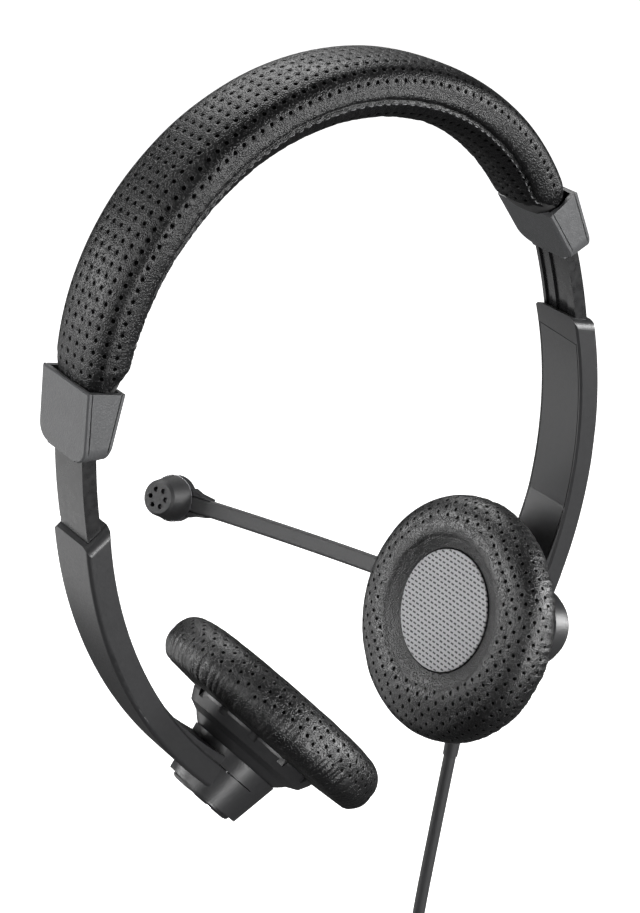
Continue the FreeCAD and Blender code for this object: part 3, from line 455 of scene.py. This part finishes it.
def leather(name, hole, specular):
    """Black leatherette: pebbled grain, a soft uneven gloss and a lattice of punched holes, which get
    painted shade: a near-black colour and no reflections over the dark foam that shows through.
    """
    g = Graph(name)
    lattice = g.node("Attribute", attribute_name="lattice")
    split = g.node("SeparateXYZ")
    g.plug(split.inputs[0], lattice.outputs["Vector"])
    apart = []
    for socket, step in ((split.outputs[0], HOLE_STEP_MM), (split.outputs[1], HOLE_ROW)):
        centred = g.math("SUBTRACT", socket, g.math("ROUND", socket))
        apart.append(g.math("MULTIPLY", centred, step))
    distance = g.math("SQRT", g.math("ADD", g.math("POWER", apart[0], 2), g.math("POWER", apart[1], 2)))
    painted_shade_hole_mask = g.math("MULTIPLY", g.ramp(distance, hole - 0.07, hole + 0.07, 1.0, 0.0), split.outputs[2])
    pebbles = g.ramp(g.cells(2300), 0.05, 0.62)
    fine = g.noise(4200, 4.0, 0.6)
    broad = g.noise(90, 3.0, 0.5)
    base = g.blend(broad, (0.005, 0.005, 0.0053), (0.010, 0.010, 0.0105))
    base = g.blend(pebbles, base, (0.0025, 0.0025, 0.0027))
    # Painted shade: the holes get a near-black colour, darker than the foam behind them, standing in for
    # the shade inside each hole.
    g.set("Base Color", g.blend(painted_shade_hole_mask, base, (0.0006, 0.0006, 0.0006)))
    gloss = g.math("ADD", g.ramp(broad, 0.3, 0.7, 0.23, 0.31), g.math("MULTIPLY", painted_shade_hole_mask, 0.55))
    g.set("Roughness", g.math("MINIMUM", g.math("ADD", gloss, g.math("MULTIPLY", pebbles, 0.12)), 0.98))
    # Painted shade: the reflections are taken out of the holes.
    g.set("Specular Tint", g.blend(painted_shade_hole_mask, (1, 1, 1), (0.02, 0.02, 0.02)))
    g.shader.inputs["Specular IOR Level"].default_value = specular
    height = g.math("SUBTRACT", g.math("MULTIPLY", fine, 0.35), g.math("MULTIPLY", pebbles, 0.65))
    height = g.math("SUBTRACT", height, g.math("MULTIPLY", painted_shade_hole_mask, 1.6))
    g.bump(height, 0.13 * MM, 1.0)
    return g.material


# ---- ear pads and their cloth -----------------------------------------------------------------
CUP_FACE = (24.2, -144.3)
CUP_TILT = math.radians(30.4)
PAD_AROUND = 600
PAD_ALONG = 96               # points of the shown part of the pad's section
PAD_H = -1.7                 # from the cup's face along its axis, in mm
HOLE_R = 16.1                # the pad's opening
HOLE_UP = 1.9                # how far the opening sits above the pad's middle
HOLE_SHIFT_R = 26.5          # the radius beyond which the section is centred on the pad
HOLE_SHIFT_OVER = 10.4
PAD_HOLE_STEPS = ((-2.05, -1.6), (1.8, -2.3))
PAD_HOLE_AT = (10.97, 23.03)
PAD_HOLE_STEP = 2.6
PAD_HOLE_ROW = 2.92
PAD_HOLE_R = 0.46
PLAIN_R = 23.2               # no punched holes nearer the opening than this
PLAIN_FROM = 38.0            # or further out than this
BEHIND = 99.0                # stands for the length along the pad's hidden back


def cup_points(side, r, h, turn, raised=0.0):
    """Points of a cup's own frame: side is 1 for the right cup and -1 for the left."""
    out = np.array([math.cos(CUP_TILT), 0, -math.sin(CUP_TILT)])
    up = np.array([math.sin(CUP_TILT), 0, math.cos(CUP_TILT)])
    face = np.array([CUP_FACE[0], 0, CUP_FACE[1]])
    points = face + (h[..., None] + PAD_H) * out + (r * np.cos(turn) + raised)[..., None] * up
    points = points + (r * np.sin(turn))[..., None] * np.array([0, 1, 0])
    return points * np.array([side, 1, 1])


def arc_through(a, b, c, count):
    """Points of the circle arc from a through b to c."""
    (ax, ay), (bx, by), (cx, cy) = a, b, c
    d = 2 * (ax * (by - cy) + bx * (cy - ay) + cx * (ay - by))
    aa, bb, cc = ax * ax + ay * ay, bx * bx + by * by, cx * cx + cy * cy
    ux = (aa * (by - cy) + bb * (cy - ay) + cc * (ay - by)) / d
    uy = (aa * (cx - bx) + bb * (ax - cx) + cc * (bx - ax)) / d
    radius = math.hypot(ax - ux, ay - uy)
    first, via, last = (math.atan2(y - uy, x - ux) for x, y in (a, b, c))
    whole = 2 * math.pi
    for turn in (0, whole, -whole):
        low, high = sorted((first, last + turn))
        passes_via = any(low <= via + k <= high for k in (0, whole, -whole))
        if passes_via and abs(last + turn - first) < whole:
            last += turn
            break
    angles = np.linspace(first, last, count)
    return np.stack([ux + radius * np.cos(angles), uy + radius * np.sin(angles)], axis=-1)


def pad_profile():
    """The pad's section as radius and height, from the cloth's edge over the roll to the back."""
    def straight(a, b, n):
        return np.linspace(a, b, n)
    runs = [
        straight((HOLE_R, 2.3), (20.5, 0.4), 12),
        arc_through((20.5, 0.4), (23.3, 0), (26.1, 0.45), 12),
        arc_through((26.1, 0.45), (31.0, 3.1), (32.1, 7.2), 20),
        arc_through((32.1, 7.2), (31.3, 11.3), (28.5, 13.6), 16),
    ]
    shown = np.concatenate([run[:-1] for run in runs] + [[(28.5, 13.6)]])
    run = np.concatenate([[0], np.cumsum(np.linalg.norm(np.diff(shown, axis=0), axis=1))])
    even = np.linspace(0, run[-1], PAD_ALONG)
    shown = np.stack([np.interp(even, run, shown[:, k]) for k in range(2)], axis=-1)
    hidden = [(20.4, 14.3), (20.4, 12.9), (28.9, 12.1), (28.9, 8.1), (HOLE_R, 8.1), (HOLE_R, 5.2)]
    return shown, even, np.array(hidden)


def pad_relief(side, s, turn):
    """How far the pad's skin stands out, in mm, and its place in the lattice of holes."""
    reach = HOLE_R + s
    y, up = reach * np.sin(turn) * side, reach * np.cos(turn)
    grid = np.linalg.inv(np.array(PAD_HOLE_STEPS).T)
    dy, du = y - PAD_HOLE_AT[0], up - PAD_HOLE_AT[1]
    u = grid[0, 0] * dy + grid[0, 1] * du
    v = grid[1, 0] * dy + grid[1, 1] * du
    shown = 1.0 * (np.hypot(y - 0.35, up - 3.0) > PLAIN_R) * (reach < PLAIN_FROM)
    hole = lattice_distance(u, v, PAD_HOLE_STEP, PAD_HOLE_ROW)
    relief = -shown * 0.3 * bell(hole, 0.36)
    rim_mm = turn * 31
    back = smooth((reach - 34.0) / 5.5)
    gather = 1 - np.abs(wander(rim_mm, (3.1, 3.9, 5.3, 7.7), 21 + side)) * 2.4
    gathered = -0.3 * back * np.clip(gather, 0, 1) ** 1.5
    relief += gathered + 0.03 * back * wander(rim_mm, (2.3, 3.3), 25 + side)
    relief += 0.08 * smooth((reach - 22) / 8) * wander(rim_mm, (11.0, 17.0, 29.0), 31 + side)
    relief += -0.07 * bell(reach - 20.0 - 0.3 * wander(rim_mm, (19.0, 33.0), 35), 0.7)
    relief += 0.04 * wander(rim_mm + 2 * reach, (9.0, 15.0), 37) * smooth((reach - 16) / 3)
    edge = bell(s - s[s < BEHIND].max() + 1.2, 0.8)
    relief += edge * (0.08 + 0.04 * wander(rim_mm, (2.6, 4.1, 7.0), 41 + side))
    return relief, np.stack([u, v, shown], axis=-1)


def build_pad(side, cup):
    """The ear pad's skin: a turned grid whose opening is off centre, with its holes and gathers."""
    shown, s, hidden = pad_profile()
    s_all = np.concatenate([s, np.full(len(hidden), BEHIND)])
    profile = np.concatenate([shown, hidden])
    turns = np.linspace(0, 2 * math.pi, PAD_AROUND, endpoint=False)
    r, turn = np.meshgrid(profile[:, 0], turns, indexing="ij")
    h = np.repeat(profile[:, 1][:, None], PAD_AROUND, axis=1)
    s_grid = np.repeat(s_all[:, None], PAD_AROUND, axis=1)
    relief, lattice = pad_relief(side, s_grid, turn)
    step = np.gradient(profile, axis=0)
    step /= np.linalg.norm(step, axis=1, keepdims=True)
    away = np.stack([step[:, 1], -step[:, 0]], axis=-1)
    still = (s_all == BEHIND) * 1.0
    still[:4] = 1
    relief *= (1 - still)[:, None]
    lattice[..., 2] *= (1 - still)[:, None]
    r, h = r + relief * away[:, :1], h + relief * away[:, 1:]
    to_hole = HOLE_UP * np.cos(turn) + np.sqrt(HOLE_R ** 2 - (HOLE_UP * np.sin(turn)) ** 2) - HOLE_R
    r = r + to_hole * smooth((HOLE_SHIFT_R - profile[:, :1]) / HOLE_SHIFT_OVER)
    points = cup_points(side, r, h, turn)
    rows, columns = points.shape[:2]
    piece = mesh_from_grid(cup + "_ear_pad_skin", points, False, {"lattice": lattice})
    weld_ends(piece, rows, columns)
    piece.data.materials.append(leather(cup + "_pad_leather", PAD_HOLE_R, 0.62))
    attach(piece, cup + "_cup")
    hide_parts(cup + "_ear_pad")


def weld_ends(piece, rows, columns):
    """Joins a turned grid's last row to its first, so that the pad is one closed skin."""
    work = bmesh.new()
    work.from_mesh(piece.data)
    work.verts.ensure_lookup_table()
    last = (rows - 1) * columns
    for k in range(columns):
        n = (k + 1) % columns
        work.faces.new((work.verts[last + k], work.verts[last + n], work.verts[n], work.verts[k]))
    bmesh.ops.recalc_face_normals(work, faces=work.faces)
    for face in work.faces:
        face.smooth = True
    work.to_mesh(piece.data)
    work.free()


SCRIM_R = 15.9
SCRIM_RINGS = 56
SCRIM_AROUND = 240
SCRIM_H = 1.75
WEAVE_ACROSS = 1.58          # from mark to mark, in mm
WEAVE_DOWN = 1.23
THREAD = 0.32


def scrim_cloth():
    """Light grey speaker cloth with rows of small dark marks, every second row half a step along."""
    g = Graph("scrim_cloth")
    place = g.node("Attribute", attribute_name="weave")
    split = g.node("SeparateXYZ")
    g.plug(split.inputs[0], place.outputs["Vector"])
    ragged = g.noise(900, 2.0, 0.5)
    jitter = g.math("MULTIPLY", g.math("SUBTRACT", ragged, 0.5), 0.28)
    v = g.math("DIVIDE", g.math("ADD", split.outputs[1], jitter), WEAVE_DOWN)
    row = g.math("ROUND", v)
    odd = g.math("ABSOLUTE", g.math("MODULO", row, 2))
    u = g.math("DIVIDE", g.math("ADD", split.outputs[0], jitter), WEAVE_ACROSS)
    u = g.math("ADD", u, g.math("MULTIPLY", odd, 0.5))
    x = g.math("MULTIPLY", g.math("SUBTRACT", u, g.math("ROUND", u)), WEAVE_ACROSS)
    y = g.math("MULTIPLY", g.math("SUBTRACT", v, row), WEAVE_DOWN)
    mark = g.math("MULTIPLY", g.ramp(g.math("ABSOLUTE", x), 0.40, 0.66, 1.0, 0.0),
                  g.ramp(g.math("ABSOLUTE", y), 0.14, 0.32, 1.0, 0.0))
    thread_u = g.math("SINE", g.math("MULTIPLY", split.outputs[0], 2 * math.pi / THREAD))
    thread_v = g.math("SINE", g.math("MULTIPLY", split.outputs[1], 2 * math.pi / THREAD))
    weave = g.math("MULTIPLY", thread_u, thread_v)
    cloth = g.blend(g.ramp(weave, -0.8, 0.8), (0.32, 0.32, 0.33), (0.50, 0.50, 0.51))
    cloth = g.blend(g.math("MULTIPLY", g.ramp(g.noise(1500), 0.3, 0.7), 0.3), cloth, (0.30, 0.30, 0.31))
    g.set("Base Color", g.blend(g.math("MULTIPLY", mark, 0.96), cloth, (0.02, 0.02, 0.021)))
    g.shader.inputs["Roughness"].default_value = 0.85
    g.shader.inputs["Sheen Weight"].default_value = 0.15
    g.bump(g.math("SUBTRACT", weave, g.math("MULTIPLY", mark, 1.2)), 0.05 * MM, 0.7)
    return g.material


def build_scrim(side, cup):
    """A disc of cloth, stretched in its ring, with a slight sag in the middle and a turned-in edge."""
    radii = np.concatenate([np.linspace(0.4, 15.2, SCRIM_RINGS), [15.55, 15.8, SCRIM_R, 15.85, 15.75]])
    turns = np.linspace(0, 2 * math.pi, SCRIM_AROUND, endpoint=False)
    r, turn = np.meshgrid(radii, turns, indexing="ij")
    sag = 0.28 * (1 - (r / SCRIM_R) ** 2) + 0.03 * wander(r * np.cos(turn + 0.6), (7.0, 11.0), 51)
    edge = np.concatenate([np.zeros(SCRIM_RINGS), [0.02, 0.12, 0.32, 0.5, 0.62]])[:, None]
    h = SCRIM_H + sag + edge
    points = cup_points(side, r, h, turn, HOLE_UP)
    weave = np.stack([r * np.sin(turn) * side, r * np.cos(turn), np.zeros_like(r)], axis=-1)
    piece = mesh_from_grid(cup + "_scrim_cloth", points, False, {"weave": weave})
    close_middle(piece, len(turns))
    piece.data.materials.append(scrim_cloth())
    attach(piece, cup + "_cup")
    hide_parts(cup + "_scrim")


def close_middle(piece, columns):
    """Fills the small hole left in the middle of the cloth."""
    work = bmesh.new()
    work.from_mesh(piece.data)
    work.verts.ensure_lookup_table()
    work.faces.new([work.verts[k] for k in range(columns)])
    bmesh.ops.recalc_face_normals(work, faces=work.faces)
    for face in work.faces:
        face.smooth = True
    work.to_mesh(piece.data)
    work.free()


# ---- free cable -------------------------------------------------------------------------------
CABLE_D = 3.4
CABLE_ROUTE = [(23.6, 0, -189.2), (16.3, 0.2, -212.0), (6.2, 0.5, -244.5), (3.6, 0.5, -262.3),
               (5.4, -0.6, -275.2), (11.2, -2.0, -284.5)]
COIL_CENTRE = (7.95, 0, -308.1)
COIL_BULGE = 4.8             # how far the cable swings aside as it changes lane
COIL_LANES = [               # radius and y of each lane of the tied coil
    (22.1, -3.4), (22.1, 0), (22.1, 3.4), (18.7, 3.4), (18.7, 0), (18.7, -3.4),
    (15.3, -3.4), (15.3, 0), (15.3, 3.4), (15.3, 5.2),
]
COIL_POINTS = 14             # control points to a turn
COIL_TURNS = 9.19
COIL_START = math.radians(60)
TAIL_ROUTE = [(23.2, 6.8, -308.4), (22.9, 7.2, -320.5), (22.0, 6.9, -332.5)]


def cable_points():
    """The free cable's control points: down from the cup, round its tied coil and out to the plug."""
    route = list(CABLE_ROUTE)
    stretch = 1 / math.cos(math.pi / COIL_POINTS)
    for k in range(int(COIL_TURNS * COIL_POINTS) + 1):
        turn = k / COIL_POINTS
        lane = int(turn)
        share = float(smooth((turn - lane) * 3 - 2))
        (r, y), (next_r, next_y) = COIL_LANES[lane], COIL_LANES[min(lane + 1, len(COIL_LANES) - 1)]
        bulge = COIL_BULGE * share * (1 - share) * math.copysign(1, y) if next_r != r else 0
        radius = (r + (next_r - r) * share) * stretch
        angle = COIL_START - 2 * math.pi * turn
        x = COIL_CENTRE[0] + radius * math.cos(angle)
        z = COIL_CENTRE[2] + radius * math.sin(angle)
        route.append((x, y + (next_y - y) * share + bulge, z))
    return route + TAIL_ROUTE


def build_cable():
    route = cable_points()
    curve = bpy.data.curves.new("cable_jacket", "CURVE")
    curve.dimensions = "3D"
    spline = curve.splines.new("NURBS")
    spline.points.add(len(route) - 1)
    for point, at in zip(spline.points, route):
        point.co = (at[0] * MM, at[1] * MM, at[2] * MM, 1)
    spline.order_u = 3
    spline.use_endpoint_u = True
    spline.resolution_u = 6
    curve.resolution_u = 6
    curve.bevel_depth = CABLE_D / 2 * MM
    curve.bevel_resolution = 6
    curve.use_fill_caps = True
    cable = bpy.data.objects.new("cable_jacket", curve)
    bpy.context.scene.collection.objects.link(cable)
    cable.data.materials.append(plain_material("cable_jacket", (0.022, 0.022, 0.023), 0.55, 2600, 0.05))
    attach(cable, "right_cup")
    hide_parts("cable", "cable_coil")


# ---- finishes of the CAD pieces ---------------------------------------------------------------
FINISHES = {
    # slot: colour, roughness, texture scale per metre, relief in mm, metallic
    "leatherette": ((0.022, 0.022, 0.023), 0.5, 2400, 0.08, 0.0),
    "foam": ((0.02, 0.02, 0.02), 0.9, 1200, 0.3, 0.0),
    "spring_steel": ((0.42, 0.42, 0.44), 0.32, 1800, 0.02, 1.0),
    "wire": ((0.02, 0.02, 0.02), 0.55, 2600, 0.04, 0.0),
    "cap_plastic": ((0.068, 0.069, 0.071), 0.36, 1900, 0.12, 0.0),
    "arm_plastic": ((0.022, 0.022, 0.023), 0.36, 3200, 0.03, 0.0),
    "strap_plastic": ((0.010, 0.010, 0.0105), 0.30, 900, 0.004, 0.0),
    "screw_steel": ((0.5, 0.5, 0.5), 0.3, 1500, 0.02, 1.0),
    "bright_trim": ((0.62, 0.62, 0.64), 0.18, 900, 0.01, 1.0),
    "speaker_plastic": ((0.042, 0.042, 0.043), 0.36, 2600, 0.04, 0.0),
    "magnet": ((0.35, 0.35, 0.36), 0.4, 1600, 0.03, 1.0),
    "board": ((0.01, 0.06, 0.03), 0.35, 1500, 0.02, 0.0),
    "rubber": ((0.020, 0.020, 0.021), 0.55, 2600, 0.05, 0.0),
    "cord": ((0.022, 0.022, 0.023), 0.55, 2600, 0.05, 0.0),
    "contact": ((0.72, 0.55, 0.26), 0.25, 900, 0.01, 1.0),
    "insulator": ((0.015, 0.015, 0.015), 0.4, 1600, 0.02, 0.0),
    "tie": ((0.02, 0.02, 0.02), 0.85, 2200, 0.25, 0.0),
    "scrim_cloth": ((0.35, 0.35, 0.36), 0.85, 2600, 0.1, 0.0),
}


def finish_cad():
    """Gives every CAD piece the finish of its slot."""
    slots = {part["node"]: part["material_slot"] for part in frame["record"]["subparts"]}
    made = {slot: plain_material(slot, *facts) for slot, facts in FINISHES.items()}
    for name, node in frame["nodes"].items():
        node.data.materials.clear()
        node.data.materials.append(made[slots[name]])


add_camera()
add_studio()
build_cable()
build_band()
for side, cup in ((1, "right"), (-1, "left")):
    build_pad(side, cup)
    build_scrim(side, cup)
finish_cad()
